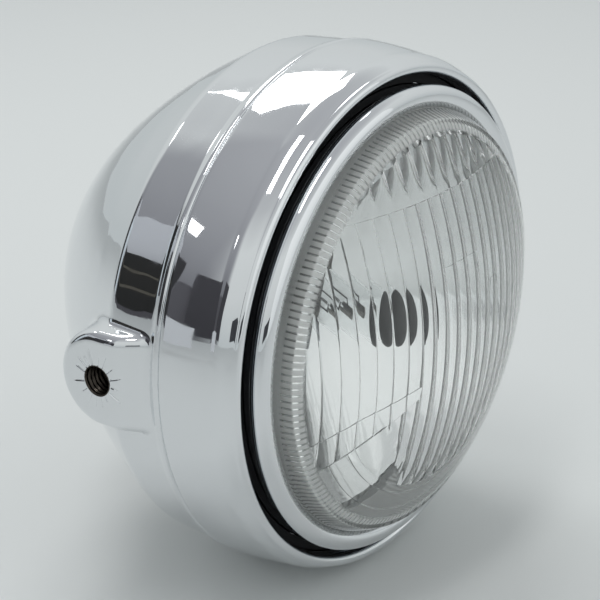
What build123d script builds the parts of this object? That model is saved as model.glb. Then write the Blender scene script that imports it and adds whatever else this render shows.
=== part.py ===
from build123d import *
import math
import os

# Round motorcycle headlight: a chromed bucket with two side bosses, a trim ring, and a
# fluted glass insert with its reflector and twin-filament bulb. Millimetres. The origin is
# the middle of the mounting axis. The lamp looks towards -Y, and +Z is up.

# Radii at the front, counted outward from the insert rim
rim_radius = 73.0
seal_gap = 3.4
lip_curl = 0.5
bead_width = 3.4
corner_round = 2.0
ring_flare = 1.6

# Lengths along the lamp, counted forward from the mounting axis
seam_ahead = 19.7
ring_depth = 24.3
corner_depth = 7.0
bead_set = 0.4

# Bucket
band_taper = 1.7
shell_wall = 1.2
dome_depth = 71.5
dome_fullness = 46.0
shoulder_blend = 7.5
spigot_length = 10.0
seam_round = 0.8
seam_flange = 3.4
seam_flare = 0.65

# Side bosses with their tapped holes
boss_stand = 5.4
boss_face_radius = 14.8
boss_draft = 14.0
boss_root_blend = 5.0
boss_edge_round = 4.0
core_radius = 10.0
core_depth = 14.6
thread_minor_radius = 4.25
thread_chamfer = 0.8

# Trim ring
ring_wall = 1.0
ring_slip = 0.3
ring_bulge = 0.3
lip_curl_length = 1.6
lip_length = 6.0

# Screw that draws the trim ring onto the bucket, with its nut plate
screw_radius = 2.0
screw_head_radius = 3.6
screw_head_crown = 0.5
screw_tip = 2.0
screw_slack = 0.1
pad_radius = 4.2
pad_height = 2.6
pad_slack = 0.4
plate_thickness = 2.4
plate_half_angle = 7.0
plate_slack = 0.1

# Rubber seal in the open gap
seal_slack = 0.3
seal_thickness = 1.5
seal_foot = 1.0
seal_bead = 1.5

# Insert rim
rim_wall = 0.9
rim_flange = 6.2
rim_bead = 3.5
rim_bead_foot = 44.4
rim_bead_hem = 27.6

# Lens
glass = 4.0
lens_slack = 0.3
lens_wall = 4.9
lens_foot_depth = 4.0
lens_neck_rise = 8.0
lens_wall_rise = 5.0
lens_wall_lean = 2.5
lens_crown = 16.5
lens_edge_round = 1.2
flute_pitch = 6.05
flute_depth = 0.5
shallow_depth = 0.2
crown_flute_pitch = 7.4
crown_flute_shift = -16.0
crown_flute_depth = 1.0
crown_line = 45.0
rib_count = 192
rib_depth = 0.18
rib_start = 5.8

# Fields of the lens pattern that shape the dipped beam, seen from the front
dip_edge = -18.5
dip_drop = 9.3
dip_angle = 8.5
dip_run = 22.2
dip_fall_angle = 16.2
strip_width = 3.1
strip_angle = 22.7
panel_inset = 14.4
panel_angle = 31.6
foot_field_radius = 48.0
foot_ring_widths = (2.5, 6.0, 3.8)
foot_ring_step = 0.3

# Sealant
sealant_thickness = 2.4
sealant_width = 6.8

# Reflector
focal_length = 26.0
mouth_radius = 61.0
neck_radius = 19.0
reflector_wall = 1.4
reflector_flange = 5.5
reflector_plate = 1.2
neck_length = 6.3

# Spring clips behind the reflector flange
clip_count = 4
clip_width = 10.0
clip_sheet = 0.6
clip_foot = 4.0
clip_slack = 0.25

# Bulb holder and its wire spring
holder_wall = 3.5
holder_skirt = 5.0
holder_plate = 1.2
holder_seat_radius = 16.5
holder_slack = 0.2
lug_reach = 7.0
lug_width = 18.0
wire_radius = 0.8
wire_spread = 12.5
wire_bend = 4.0
clip_screw_radius = 1.5
clip_screw_head = 2.8
clip_screw_head_height = 1.6
clip_screw_spread = 6.0

# Bulb
bulb_flange_radius = 19.5
bulb_flange_sheet = 1.2
cap_radius = 9.9
cap_ahead = 14.0
cap_behind = 11.0
cap_recess = 6.0
capsule_wall = 0.9
capsule_slack = 0.2
capsule_length = 48.0
filament_radius = 0.7
filament_length = 5.0
filament_gap = 2.0
post_radius = 0.4
post_spread = 3.4
shield_radius = 2.9
shield_wall = 0.4
shield_length = 9.0
blade_width = 7.8
blade_sheet = 0.8
blade_length = 13.0
blade_spread = 6.0

# Rubber boot over the bulb's base
boot_radius = 36.0
boot_wall = 1.8
boot_slack = 0.3
boot_depth = 9.0
boot_neck_radius = 14.5
boot_neck_length = 6.0
boot_taper = 8.0

# Grommet of the cable inlet, low on the back of the bucket
inlet_place = 0.45
inlet_hole_radius = 6.5
inlet_bore_radius = 3.5
grommet_flange = 2.5
grommet_thickness = 2.2
grommet_slack = 0.2

# Places that follow from the sizes above
lip_radius = rim_radius + seal_gap
bead_radius = lip_radius + lip_curl
crease_radius = bead_radius + bead_width
corner_radius = crease_radius + corner_round
seam_radius = corner_radius + ring_flare
shoulder_radius = seam_radius - band_taper
flare_rate = ring_flare / (ring_depth - corner_depth)
spigot_radius = seam_radius - ring_wall - ring_slip
spigot_tip_radius = spigot_radius - flare_rate * spigot_length
boss_face = shoulder_radius + boss_stand
core_end = boss_face - core_depth
boss_foot = shoulder_radius - 2 * boss_face_radius
seam_y = -seam_ahead
rim_plane = seam_y - ring_depth
bead_y = rim_plane + bead_set
corner_y = rim_plane + corner_depth
lip_end = rim_plane + lip_length
seal_back = lip_end + seal_thickness
rim_back = seal_back + rim_wall
flange_radius = rim_radius + rim_flange
rim_inside = rim_radius - rim_wall
rim_bead_radius = rim_radius - rim_bead * math.cos(math.radians(rim_bead_foot))
rim_bead_y = rim_plane - rim_bead * math.sin(math.radians(rim_bead_foot))
hem_radius = rim_bead_radius - rim_bead * math.cos(math.radians(rim_bead_hem))
lens_back = rim_back - sealant_thickness
lens_foot = lens_back - lens_foot_depth
lens_foot_radius = rim_inside - lens_slack
neck_outside = hem_radius - lens_slack
wall_foot_y = lens_foot - lens_neck_rise
wall_top_radius = neck_outside - lens_wall_lean
wall_top_y = wall_foot_y - lens_wall_rise
lens_apex = wall_top_y - lens_crown
lens_bore_radius = neck_outside - lens_wall
dome_sphere = (wall_top_radius**2 + lens_crown**2) / (2 * lens_crown)
sphere_y = lens_apex + dome_sphere
mirror_vertex = rim_back + mouth_radius**2 / (4 * focal_length)
neck_front = mirror_vertex - neck_radius**2 / (4 * focal_length)
neck_back = neck_front + neck_length
holder_back = neck_back + holder_plate
holder_radius = neck_radius + reflector_wall + holder_slack + holder_wall
bulb_flange_back = holder_back + bulb_flange_sheet
cap_front = holder_back - cap_ahead
cap_back = bulb_flange_back + cap_behind
capsule_seat = cap_front + cap_recess
wire_y = bulb_flange_back + wire_radius
lug_radius = holder_radius + lug_reach
screw_y = seam_y - spigot_length / 2
screw_seat = seam_radius - flare_rate * spigot_length / 2
focus_y = mirror_vertex - focal_length


def turned(*edges):
    """Solid of revolution about the lamp's axis, from closed edges in (radius, y)."""
    return revolve(make_face(edges), Axis.Y)


def ring_of(*points):
    """Solid of revolution about the lamp's axis, from the corners of its section."""
    return turned(Polyline(*points, close=True))


def rod(start, end, radius):
    """Round rod between two points."""
    direction = Vector(*end) - Vector(*start)
    foot = Plane(origin=start, z_dir=direction)
    return foot * Cylinder(radius, direction.length, align=(Align.CENTER, Align.CENTER, Align.MIN))


def circles_at(solid, radius, y):
    """Circular edges of a solid with this radius in this plane across the lamp."""
    rings = solid.edges().filter_by(GeomType.CIRCLE)
    return [e for e in rings if abs(e.radius - radius) < 0.01 and abs(e.center().Y - y) < 0.01]


def corner_rounded(section, radius, y, blend):
    """A section in (radius, y) with the corner at this place rounded."""
    corner = section.vertices().sort_by_distance((radius, y, 0))[0]
    return fillet(corner, blend)


def dome_curve(start_radius, start_y, fullness, pole):
    """Back of the bucket: a curve that leaves the shoulder and rounds into the pole."""
    return Bezier((start_radius, start_y), (fullness, pole), (0, pole))


def side_plane(side, x):
    """Plane across the mounting axis at this distance from the middle, facing outward."""
    return Plane(origin=(side * x, 0, 0), x_dir=(0, side, 0), z_dir=(side, 0, 0))


def inlet_plane():
    """Plane on the back of the bucket where the cable enters, facing outward."""
    curve = dome_curve(shoulder_radius, 0, dome_fullness, dome_depth)
    place = curve @ inlet_place
    along = curve % inlet_place
    outward = Vector(0, -along.X, -along.Y)
    if outward.Z > 0:
        outward = outward * -1
    return Plane(origin=(0, place.Y, -place.X), x_dir=(1, 0, 0), z_dir=outward)


def bucket_boss(side):
    """Drafted boss on one side, from well inside the shell to its flat face."""
    height = boss_face - boss_foot
    root_radius = boss_face_radius + height * math.tan(math.radians(boss_draft))
    cone = Cone(root_radius, boss_face_radius, height, align=(Align.CENTER, Align.CENTER, Align.MIN))
    cone = fillet(cone.edges().sort_by(Axis.Z)[-1], boss_edge_round)
    return side_plane(side, boss_foot) * cone


def boss_root(body, side):
    """Edges where a boss runs into the shell."""
    edges = [e for e in body.edges() if e.geom_type not in (GeomType.CIRCLE, GeomType.LINE)]
    edges = [e for e in edges if side * e.center().X > boss_foot]
    return [e for e in edges if math.hypot(e.center().Y, e.center().Z) < 2 * boss_face_radius]


def bucket_outside():
    """Filled outer form of the bucket with its blended shoulder and bosses."""
    front = seam_y - spigot_length
    outline = Polyline(
        (0, dome_depth),
        (0, front),
        (spigot_tip_radius, front),
        (spigot_radius, seam_y),
        (seam_radius, seam_y),
        (seam_radius - seam_flare, seam_y + seam_flange),
        (shoulder_radius, 0),
    )
    section = make_face([outline, dome_curve(shoulder_radius, 0, dome_fullness, dome_depth)])
    section = corner_rounded(section, shoulder_radius, 0, shoulder_blend)
    section = corner_rounded(section, seam_radius, seam_y, seam_round)
    body = Rot(Y=90) * revolve(section, Axis.Y)
    for side in (-1, 1):
        body = body + bucket_boss(side)
        body = fillet(boss_root(body, side), boss_root_blend)
    return body


def bucket_inside():
    """Hollow of the bucket, one wall inside its outer form."""
    front = seam_y - spigot_length
    step = seam_y + shell_wall
    shoulder = shoulder_radius - shell_wall
    pole = dome_depth - shell_wall
    return turned(
        Polyline(
            (0, pole),
            (0, front),
            (spigot_tip_radius - shell_wall, front),
            (spigot_radius - shell_wall, step),
            (seam_radius - seam_flare - shell_wall, step),
            (seam_radius - seam_flare - shell_wall, seam_y + seam_flange),
            (shoulder, 0),
        ),
        dome_curve(shoulder, 0, dome_fullness - shell_wall, pole),
    )


def make_bucket():
    hollow = bucket_inside()
    body = bucket_outside()
    for side in (-1, 1):
        reach = boss_face - core_end
        core = Cylinder(core_radius, reach, align=(Align.CENTER, Align.CENTER, Align.MIN))
        hollow = hollow - side_plane(side, core_end) * core
    body = body - hollow
    for side in (-1, 1):
        drill = Cylinder(thread_minor_radius, 3 * core_depth)
        body = body - side_plane(side, boss_face) * drill
        mouth = Cone(thread_minor_radius, thread_minor_radius + 2 * thread_chamfer, 2 * thread_chamfer)
        body = body - side_plane(side, boss_face) * mouth
    notch_back = screw_y + pad_radius + pad_slack
    notch_front = seam_y - spigot_length
    notch = Pos(0, (notch_front + notch_back) / 2, -spigot_radius) * Box(
        2 * (pad_radius + pad_slack), notch_back - notch_front, 4 * shell_wall
    )
    body = body - notch
    return body - inlet_plane() * Cylinder(inlet_hole_radius, 8 * shell_wall)


def make_trim_ring():
    seam_edge = (seam_radius, seam_y)
    corner = (corner_radius, corner_y)
    crease = (crease_radius, bead_y)
    bead_edge = (bead_radius, bead_y)
    lip = (lip_radius, bead_y + lip_curl_length)
    middle = ((seam_radius + corner_radius) / 2 + ring_bulge, (seam_y + corner_y) / 2)
    band = ThreePointArc(seam_edge, middle, corner)
    front_corner = TangentArc(corner, crease, tangent=band % 1)
    bead = ThreePointArc(crease, (bead_radius + bead_width / 2, bead_y - bead_width / 2), bead_edge)
    curl = TangentArc(bead_edge, lip, tangent=bead % 1)
    inside = Polyline(
        lip,
        (lip_radius, lip_end),
        (lip_radius + ring_wall, lip_end),
        (lip_radius + ring_wall, bead_y + lip_curl_length),
        (bead_radius + ring_wall, bead_y + ring_wall),
        (crease_radius - ring_wall / 2, bead_y + ring_wall),
        (corner_radius - ring_wall, corner_y),
        (seam_radius - ring_wall, seam_y),
        seam_edge,
    )
    ring = turned(band, front_corner, bead, curl, inside)
    ring = fillet(circles_at(ring, seam_radius, seam_y), seam_round)
    pad_top = screw_seat - ring_wall / 2
    pad = Pos(0, screw_y, -pad_top) * Cylinder(
        pad_radius, pad_height, align=(Align.CENTER, Align.CENTER, Align.MIN)
    )
    ring = ring + pad
    return ring - screw_hole()


def screw_plane():
    """Plane on the outside of the trim ring's foot, facing up into the lamp."""
    return Plane(origin=(0, screw_y, -screw_seat), x_dir=(1, 0, 0), z_dir=(0, 0, 1))


def countersunk(head_radius, shank_radius, length):
    """Countersunk head and shank about their own axis, with the rim of the head at zero."""
    depth = head_radius - shank_radius
    head = Cone(head_radius, shank_radius, depth, align=(Align.CENTER, Align.CENTER, Align.MIN))
    shank = Cylinder(shank_radius, length, align=(Align.CENTER, Align.CENTER, Align.MIN))
    return head + shank


def screw_length():
    """From the outside of the trim ring, through its pad and the nut plate."""
    plate_top = spigot_tip_radius - shell_wall - plate_slack - plate_thickness
    return screw_seat - plate_top + screw_tip


def screw_hole():
    drill = countersunk(screw_head_radius + screw_slack, screw_radius + screw_slack, screw_length())
    mouth = Cylinder(
        screw_head_radius + screw_slack, ring_wall, align=(Align.CENTER, Align.CENTER, Align.MAX)
    )
    return screw_plane() * (drill + mouth)


def make_ring_screw():
    body = countersunk(screw_head_radius, screw_radius, screw_length())
    sphere = (screw_head_radius**2 + screw_head_crown**2) / (2 * screw_head_crown)
    crown = Pos(0, 0, sphere - screw_head_crown) * Sphere(sphere)
    crown = crown & Pos(0, 0, -screw_head_crown) * Cylinder(
        screw_head_radius, screw_head_crown, align=(Align.CENTER, Align.CENTER, Align.MIN)
    )
    return screw_plane() * (body + crown)


def make_nut_plate():
    tip = spigot_tip_radius - shell_wall - plate_slack
    back = spigot_radius - shell_wall - plate_slack
    front = seam_y - spigot_length
    band = ring_of((tip - plate_thickness, front), (tip, front), (back, seam_y), (tip - plate_thickness, seam_y))
    half_width = tip * math.sin(math.radians(plate_half_angle))
    window = Pos(0, screw_y, -tip) * Box(2 * half_width, 2 * spigot_length, tip)
    pad_end = screw_seat - ring_wall / 2 - pad_height
    pad_room = Pos(0, screw_y, -pad_end + pad_slack) * Cylinder(
        pad_radius + pad_slack, pad_height, align=(Align.CENTER, Align.CENTER, Align.MAX)
    )
    return (band & window) - pad_room - screw_hole()


def make_rim_seal():
    inside = rim_radius + seal_slack
    outside = lip_radius - seal_slack
    foot = lip_radius + ring_wall + seal_foot
    front = lip_end - seal_bead
    return ring_of(
        (inside, seal_back), (inside, front), (outside, front), (outside, lip_end), (foot, lip_end), (foot, seal_back)
    )


def rim_bead_point(section, angle):
    """Point of the rim's bead: 0 faces outward, 90 to the front and 180 inward."""
    turn = math.radians(angle)
    return (rim_bead_radius + section * math.cos(turn), rim_bead_y - section * math.sin(turn))


def make_insert_rim():
    foot, hem, front = -rim_bead_foot, 180 - rim_bead_hem, 90
    inner = rim_bead - rim_wall
    bead = ThreePointArc(*[rim_bead_point(rim_bead, angle) for angle in (foot, front, hem)])
    hollow = ThreePointArc(*[rim_bead_point(inner, angle) for angle in (hem, front, foot)])
    skirt = Polyline(
        bead @ 1,
        (hem_radius, lens_foot - lens_slack),
        (hem_radius + rim_wall, lens_foot - lens_slack),
        hollow @ 0,
    )
    flange = Polyline(
        hollow @ 1,
        (rim_inside, rim_plane),
        (rim_inside, rim_back),
        (flange_radius, rim_back),
        (flange_radius, seal_back),
        (rim_radius, seal_back),
        bead @ 0,
    )
    return turned(bead, skirt, hollow, flange)


def back_of_glass(radius):
    """Place along the lamp of the plain inner face of the lens at this radius."""
    return sphere_y - math.sqrt((dome_sphere - glass) ** 2 - radius**2)


def flute_field(pitch, shift, depth):
    """Hollow behind the glass: upright concave flutes carried round the dome's sphere."""
    back_sphere = dome_sphere - glass
    first = math.floor((-lens_bore_radius - shift) / pitch)
    last = math.ceil((lens_bore_radius - shift) / pitch)
    cusps = []
    for i in range(first, last + 1):
        x = shift + i * pitch
        cusps.append((x, sphere_y - math.sqrt(back_sphere**2 - x**2)))
    flutes = []
    for left, right in zip(cusps[:-1], cusps[1:]):
        x = (left[0] + right[0]) / 2
        lean = math.sqrt((back_sphere + depth) ** 2 - x**2)
        flutes.append(ThreePointArc(left, (x, sphere_y - lean), right))
    sides = Polyline(cusps[-1], (cusps[-1][0], sphere_y), (cusps[0][0], sphere_y), cusps[0])
    centre_line = Axis((0, sphere_y, 0), (1, 0, 0))
    return revolve(make_face([*flutes, sides]), centre_line)


def lens_bore(*corners):
    """Straight bore of the lens from its back to past the dome, within an outline of (x, z) corners."""
    length = lens_back - lens_apex
    back = Plane(origin=(0, lens_back, 0), x_dir=(1, 0, 0), z_dir=(0, -1, 0))
    return back * (extrude(Circle(lens_bore_radius) & make_face(Polyline(*corners, close=True)), length))


def lens_fields():
    """Outlines of the pattern's fields: crown, shallow left, strip, full flutes, the foot and its left part."""
    far = 2 * lens_bore_radius
    reach = far + dip_edge - dip_run
    bend = -dip_drop - dip_run * math.tan(math.radians(dip_angle))
    dip_end = bend - reach * math.tan(math.radians(dip_fall_angle))
    dip = [(dip_edge, -dip_drop), (dip_edge - dip_run, bend), (-far, dip_end)]
    strip_top = -dip_drop - strip_width
    slope = math.tan(math.radians(strip_angle))
    strip = [(dip_edge, strip_top), (-far, strip_top - (far + dip_edge) * slope)]
    panel = (dip_edge - panel_inset, strip_top - panel_inset * slope)
    panel_foot = panel[1] - panel_inset / math.tan(math.radians(panel_angle))
    crown = [(-far, crown_line), (far, crown_line), (far, far), (-far, far)]
    shallow = [(dip_edge, crown_line), (-far, crown_line), *dip[::-1]]
    between = [*dip, *strip[::-1]]
    full = [(dip_edge, crown_line), (far, crown_line), (far, strip_top), (dip_edge, strip_top)]
    foot = [(dip_edge, strip_top), (far, strip_top), (far, -far), (-far, -far), strip[1]]
    fluted_foot = [(dip_edge, strip_top), (far, strip_top), (far, -far), (dip_edge, -far), (dip_edge, panel_foot), panel]
    return crown, shallow, between, full, foot, fluted_foot


def foot_rings(foot):
    """Low prism rings that close the foot of the lens outside its flutes."""
    inner, rings = foot_field_radius, []
    for width in foot_ring_widths:
        outer = inner + width
        sunk = glass / 4
        rings.append(
            ring_of(
                (inner, back_of_glass(inner) - sunk),
                (outer, back_of_glass(outer) - sunk),
                (outer, back_of_glass(outer)),
                (inner, back_of_glass(inner) + foot_ring_step),
            )
        )
        inner = outer
    return [lens_bore(*foot) & ring for ring in rings]


def ribbed_bore(plain):
    """Bore with fine upright ribs round its wall, ahead of the clear foot of the lens."""
    ribs = []
    turn = 2 * math.pi / rib_count
    for i in range(rib_count):
        points = []
        for angle, radius in ((i, 0), (i + 0.5, rib_depth), (i + 1, 0)):
            reach = lens_bore_radius + radius
            points.append((reach * math.cos(angle * turn), reach * math.sin(angle * turn)))
        ribs.append(ThreePointArc(*points))
    foot = Plane(origin=(0, lens_foot - rib_start, 0), x_dir=(1, 0, 0), z_dir=(0, -1, 0))
    return foot * extrude(make_face(ribs), lens_foot - lens_apex) & plain


def make_lens():
    dome = ThreePointArc(
        (0, lens_apex),
        (
            dome_sphere * math.sin(math.asin(wall_top_radius / dome_sphere) / 2),
            sphere_y - dome_sphere * math.cos(math.asin(wall_top_radius / dome_sphere) / 2),
        ),
        (wall_top_radius, wall_top_y),
    )
    body = turned(
        dome,
        Polyline(
            (wall_top_radius, wall_top_y),
            (neck_outside, wall_foot_y),
            (neck_outside, lens_foot),
            (lens_foot_radius, lens_foot),
            (lens_foot_radius, lens_back),
            (0, lens_back),
            (0, lens_apex),
        ),
    )
    body = fillet(circles_at(body, wall_top_radius, wall_top_y), lens_edge_round)
    crown, shallow, between, full, foot, fluted_foot = lens_fields()
    plain = Pos(0, sphere_y, 0) * Sphere(dome_sphere - glass)
    flutes = flute_field(flute_pitch, dip_edge, flute_depth)
    low_flutes = flute_field(flute_pitch, dip_edge, shallow_depth)
    field = Pos(0, lens_back, 0) * Rot(X=90) * Cylinder(
        foot_field_radius, lens_back - lens_apex, align=(Align.CENTER, Align.CENTER, Align.MIN)
    )
    body = body - (lens_bore(*crown) & flute_field(crown_flute_pitch, crown_flute_shift, crown_flute_depth))
    body = body - (lens_bore(*shallow) & low_flutes) - (lens_bore(*between) & flutes) - (lens_bore(*full) & flutes)
    body = body - (lens_bore(*foot) & plain) - (lens_bore(*fluted_foot) & flutes & field)
    body = body - ribbed_bore(plain)
    for ring in foot_rings(foot):
        body = body + ring
    return body


def make_sealant():
    outside = lens_foot_radius
    inside = outside - sealant_width
    return ring_of((inside, lens_back), (outside, lens_back), (outside, rim_back), (inside, rim_back))


def parabola(vertex, small, large):
    """Arc of the reflector's parabola between two radii, from the small one to the large."""
    def height(radius):
        return vertex - radius**2 / (4 * focal_length)

    bend = ((small + large) / 2, vertex - small * large / (4 * focal_length))
    return Bezier((small, height(small)), bend, (large, height(large)))


def make_reflector():
    plate_back = rim_back + reflector_plate
    back_vertex = mirror_vertex + reflector_wall
    neck_outer = neck_radius + reflector_wall
    back_mouth = math.sqrt(4 * focal_length * (back_vertex - plate_back))
    mirror = parabola(mirror_vertex, neck_radius, mouth_radius)
    back = parabola(back_vertex, neck_outer, back_mouth)
    outer = flange_radius - clip_slack
    front = Polyline((mouth_radius, rim_back), (outer, rim_back), (outer, plate_back), (back_mouth, plate_back))
    neck = Polyline(back @ 0, (neck_outer, neck_back), (neck_radius, neck_back), mirror @ 0)
    return turned(mirror, front, back, neck)


def make_insert_clips():
    plate_back = rim_back + reflector_plate
    wall_radius = corner_radius - ring_wall - clip_slack
    toe = flange_radius - clip_slack - clip_foot
    end = seam_y - spigot_length - ring_slip
    knee = (plate_back + end) / 2
    path = [
        (toe, plate_back),
        (flange_radius, plate_back),
        (wall_radius, knee),
        (wall_radius, end),
        (wall_radius - clip_sheet, end),
        (wall_radius - clip_sheet, knee + clip_sheet / 2),
        (flange_radius - clip_sheet / 2, plate_back + clip_sheet),
        (toe, plate_back + clip_sheet),
    ]
    strip = extrude(make_face(Polyline(*path, close=True)), clip_width / 2, both=True)
    turn = 360 / clip_count
    return [Rot(Y=turn * (i + 0.5)) * strip for i in range(clip_count)]


def make_bulb_holder():
    inside = neck_radius + reflector_wall + holder_slack
    collar = ring_of(
        (inside, neck_back - holder_skirt),
        (holder_radius, neck_back - holder_skirt),
        (holder_radius, holder_back),
        (holder_seat_radius, holder_back),
        (holder_seat_radius, neck_back),
        (inside, neck_back),
    )
    plate = Pos(0, (neck_back + holder_back) / 2, 0) * Box(2 * lug_radius, holder_plate, lug_width)
    hole = Pos(0, holder_back, 0) * Rot(X=90) * Cylinder(holder_radius - holder_wall / 2, 4 * holder_plate)
    holder = collar + (plate - hole)
    for point in clip_screw_points():
        holder = holder - Pos(*point) * Rot(X=90) * Cylinder(clip_screw_radius + screw_slack, 4 * holder_plate)
    return holder


def clip_screw_points():
    """Places of the screws that hold the two legs of the wire spring."""
    x = lug_radius - clip_screw_head
    return [(x, holder_back, side * clip_screw_spread) for side in (-1, 1)]


def make_clip_screws():
    screws = []
    seat = wire_y + wire_radius + screw_slack
    for point in clip_screw_points():
        foot = Vector(point[0], neck_back, point[2])
        shank = rod(foot, (point[0], seat, point[2]), clip_screw_radius)
        head = rod((point[0], seat, point[2]), (point[0], seat + clip_screw_head_height, point[2]), clip_screw_head)
        screws.append(shank + head)
    return screws


def make_bulb_clip():
    leg_x = clip_screw_points()[0][0]
    leg_z = clip_screw_spread + clip_screw_radius + wire_radius + screw_slack
    latch_x = lug_radius - clip_screw_head
    path = FilletPolyline(
        (leg_x + clip_screw_head, wire_y, leg_z),
        (leg_x - wire_bend, wire_y, leg_z),
        (leg_x - 3 * wire_bend, wire_y, wire_spread),
        (wire_bend - latch_x, wire_y, wire_spread),
        (-latch_x, wire_y, 0),
        (wire_bend - latch_x, wire_y, -wire_spread),
        (leg_x - 3 * wire_bend, wire_y, -wire_spread),
        (leg_x - wire_bend, wire_y, -leg_z),
        (leg_x + clip_screw_head, wire_y, -leg_z),
        radius=wire_bend / 2,
    )
    start = Plane(origin=path @ 0, z_dir=path % 0)
    return sweep(start * Circle(wire_radius), path=path)


def make_bulb_flange():
    inside = cap_radius + screw_slack
    return ring_of(
        (inside, holder_back),
        (bulb_flange_radius, holder_back),
        (bulb_flange_radius, bulb_flange_back),
        (inside, bulb_flange_back),
    )


def make_bulb_cap():
    recess = cap_radius - capsule_wall
    return ring_of(
        (0, cap_back),
        (cap_radius, cap_back),
        (cap_radius, cap_front),
        (recess, cap_front),
        (recess, capsule_seat),
        (0, capsule_seat),
    )


def capsule_form(radius, tip):
    """Glass tube with a round end, from its seat in the cap to its tip."""
    shoulder = tip + radius
    return turned(
        Polyline((0, tip), (0, capsule_seat), (radius, capsule_seat), (radius, shoulder)),
        ThreePointArc(
            (radius, shoulder), (radius * math.sin(math.pi / 4), shoulder - radius * math.cos(math.pi / 4)), (0, tip)
        ),
    )


def make_bulb_capsule():
    outside = cap_radius - capsule_wall - capsule_slack
    tip = capsule_seat - capsule_length
    return capsule_form(outside, tip) - capsule_form(outside - capsule_wall, tip + capsule_wall)


def filament_ends():
    """Front and back ends of the dipped and the main filament, both on the lamp's axis."""
    dipped = (focus_y - filament_length / 2, focus_y + filament_length / 2)
    main_front = dipped[1] + filament_gap
    return dipped, (main_front, main_front + filament_length)


def make_filaments():
    return [rod((0, front, 0), (0, back, 0), filament_radius) for front, back in filament_ends()]


def make_posts():
    """Lead-in wires: two outer ones to the ends of the filaments, one to the joint between them."""
    dipped, main = filament_ends()
    joint = (dipped[1] + main[0]) / 2
    posts = []
    for angle, end in ((90, dipped[0] - post_radius), (210, joint), (330, main[1] + post_radius)):
        x = post_spread * math.cos(math.radians(angle))
        z = post_spread * math.sin(math.radians(angle))
        upright = rod((x, capsule_seat, z), (x, end - post_radius, z), post_radius)
        posts.append(upright + rod((x, end, z), (0, end, 0), post_radius))
    return posts


def make_shield():
    """Half cup below the dipped filament, open above."""
    dipped, main = filament_ends()
    back = (dipped[1] + main[0]) / 2 - 2 * post_radius
    front = back - shield_length
    cup = ring_of(
        (0, front),
        (shield_radius, front),
        (shield_radius, back),
        (shield_radius - shield_wall, back),
        (shield_radius - shield_wall, front + shield_wall),
        (0, front + shield_wall),
    )
    below = Pos(0, (front + back) / 2, -shield_radius) * Box(
        4 * shield_radius, 2 * shield_length, 2 * shield_radius
    )
    notch = Pos(0, dipped[0], 0) * Box(4 * filament_radius, shield_length, 4 * filament_radius)
    return cup & below - notch


def make_terminals():
    """Three contact blades: two upright, one level above them."""
    upright = Box(blade_sheet, blade_length, blade_width, align=(Align.CENTER, Align.MIN, Align.CENTER))
    level = Box(blade_width, blade_length, blade_sheet, align=(Align.CENTER, Align.MIN, Align.CENTER))
    return [
        Pos(-blade_spread, cap_back, 0) * upright,
        Pos(blade_spread, cap_back, 0) * upright,
        Pos(0, cap_back, blade_spread) * level,
    ]


def make_boot():
    def seat(radius):
        return mirror_vertex + reflector_wall - radius**2 / (4 * focal_length) + boot_slack

    inner = boot_radius - boot_wall
    shoulder = bulb_flange_back + boot_depth
    neck = shoulder + boot_taper
    end = neck + boot_neck_length
    return ring_of(
        (inner, seat(inner)),
        (boot_radius, seat(boot_radius)),
        (boot_radius, shoulder),
        (boot_neck_radius, neck),
        (boot_neck_radius, end),
        (boot_neck_radius - boot_wall, end),
        (boot_neck_radius - boot_wall, neck - boot_wall),
        (inner, shoulder - boot_wall),
    )


def make_grommet():
    neck = inlet_hole_radius - grommet_slack
    flange = inlet_hole_radius + grommet_flange
    curve = dome_curve(shoulder_radius, 0, dome_fullness, dome_depth)
    sag = flange**2 / (2 * curve.length / 2)
    outer_foot = 0
    inner_foot = -shell_wall - sag - grommet_slack
    section = Polyline(
        (inlet_bore_radius, outer_foot + grommet_thickness),
        (flange - grommet_thickness / 2, outer_foot + grommet_thickness),
        (flange, outer_foot + grommet_thickness / 2),
        (flange, outer_foot),
        (neck, outer_foot),
        (neck, inner_foot),
        (flange, inner_foot),
        (flange - grommet_thickness / 2, inner_foot - grommet_thickness),
        (inlet_bore_radius, inner_foot - grommet_thickness),
        close=True,
    )
    sleeve = revolve(Plane.XZ * make_face(section), Axis.Z)
    return inlet_plane() * sleeve


pieces = {
    "bucket": make_bucket,
    "trim_ring": make_trim_ring,
    "ring_screw": make_ring_screw,
    "ring_nut_plate": make_nut_plate,
    "rim_seal": make_rim_seal,
    "insert_rim": make_insert_rim,
    "lens": make_lens,
    "lens_sealant": make_sealant,
    "reflector": make_reflector,
    "insert_clips": make_insert_clips,
    "bulb_holder": make_bulb_holder,
    "bulb_clip": make_bulb_clip,
    "clip_screws": make_clip_screws,
    "bulb_flange": make_bulb_flange,
    "bulb_cap": make_bulb_cap,
    "bulb_capsule": make_bulb_capsule,
    "bulb_filaments": make_filaments,
    "bulb_lead_wires": make_posts,
    "bulb_shield": make_shield,
    "bulb_terminals": make_terminals,
    "bulb_boot": make_boot,
    "cable_grommet": make_grommet,
}

os.makedirs("parts", exist_ok=True)
for name, make in pieces.items():
    shape = make()
    solids = shape if isinstance(shape, list) else [shape]
    body = Compound(children=[s for piece in solids for s in piece.solids()])
    export_step(body, os.path.join("parts", name + ".step"))
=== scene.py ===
import math

import bmesh
import bpy
import numpy as np
from mathutils import Matrix, Vector


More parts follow.
